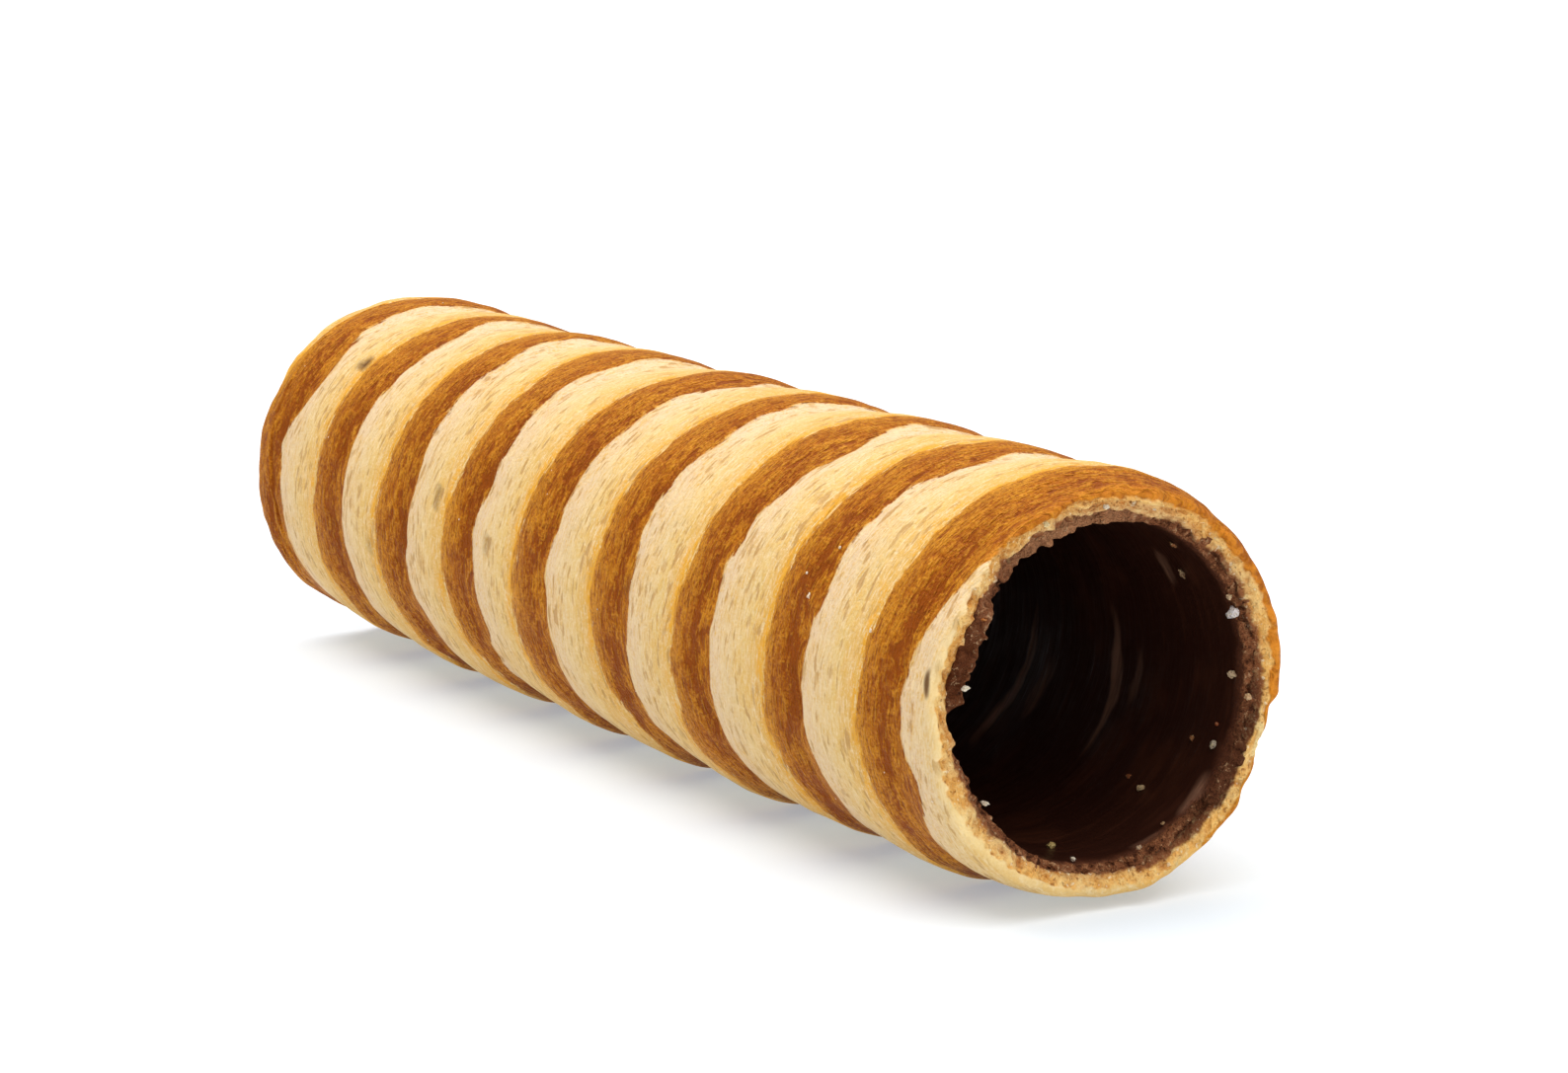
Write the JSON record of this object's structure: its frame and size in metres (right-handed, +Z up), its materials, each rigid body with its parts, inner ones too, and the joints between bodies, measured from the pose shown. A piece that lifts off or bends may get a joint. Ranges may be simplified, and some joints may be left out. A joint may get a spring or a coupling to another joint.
{
  "type": "striped pastry tube",
  "caption": "Hollow baked pastry tube, open at both ends, with spiral brown and cream stripes, raised turns and a thin dark chocolate lining, lying on its side.",
  "frame": {"origin": "centre of the object's box on the surface it rests on, below the middle of the tube", "axes": "+X along the tube towards the end with the loose crumbs and the slab of chocolate, +Z up"},
  "size_m": [0.1115, 0.0307, 0.0304],
  "materials": {
    "baked_dough": "baked two-tone dough, golden brown and cream stripes, matt with a faint sheen",
    "chocolate": "set dark chocolate, satin inside, rough where broken at the rim"
  },
  "bodies": {
    "root": {"pastry_tube": "baked_dough", "chocolate_lining": "chocolate"}
  },
  "joints": []
}
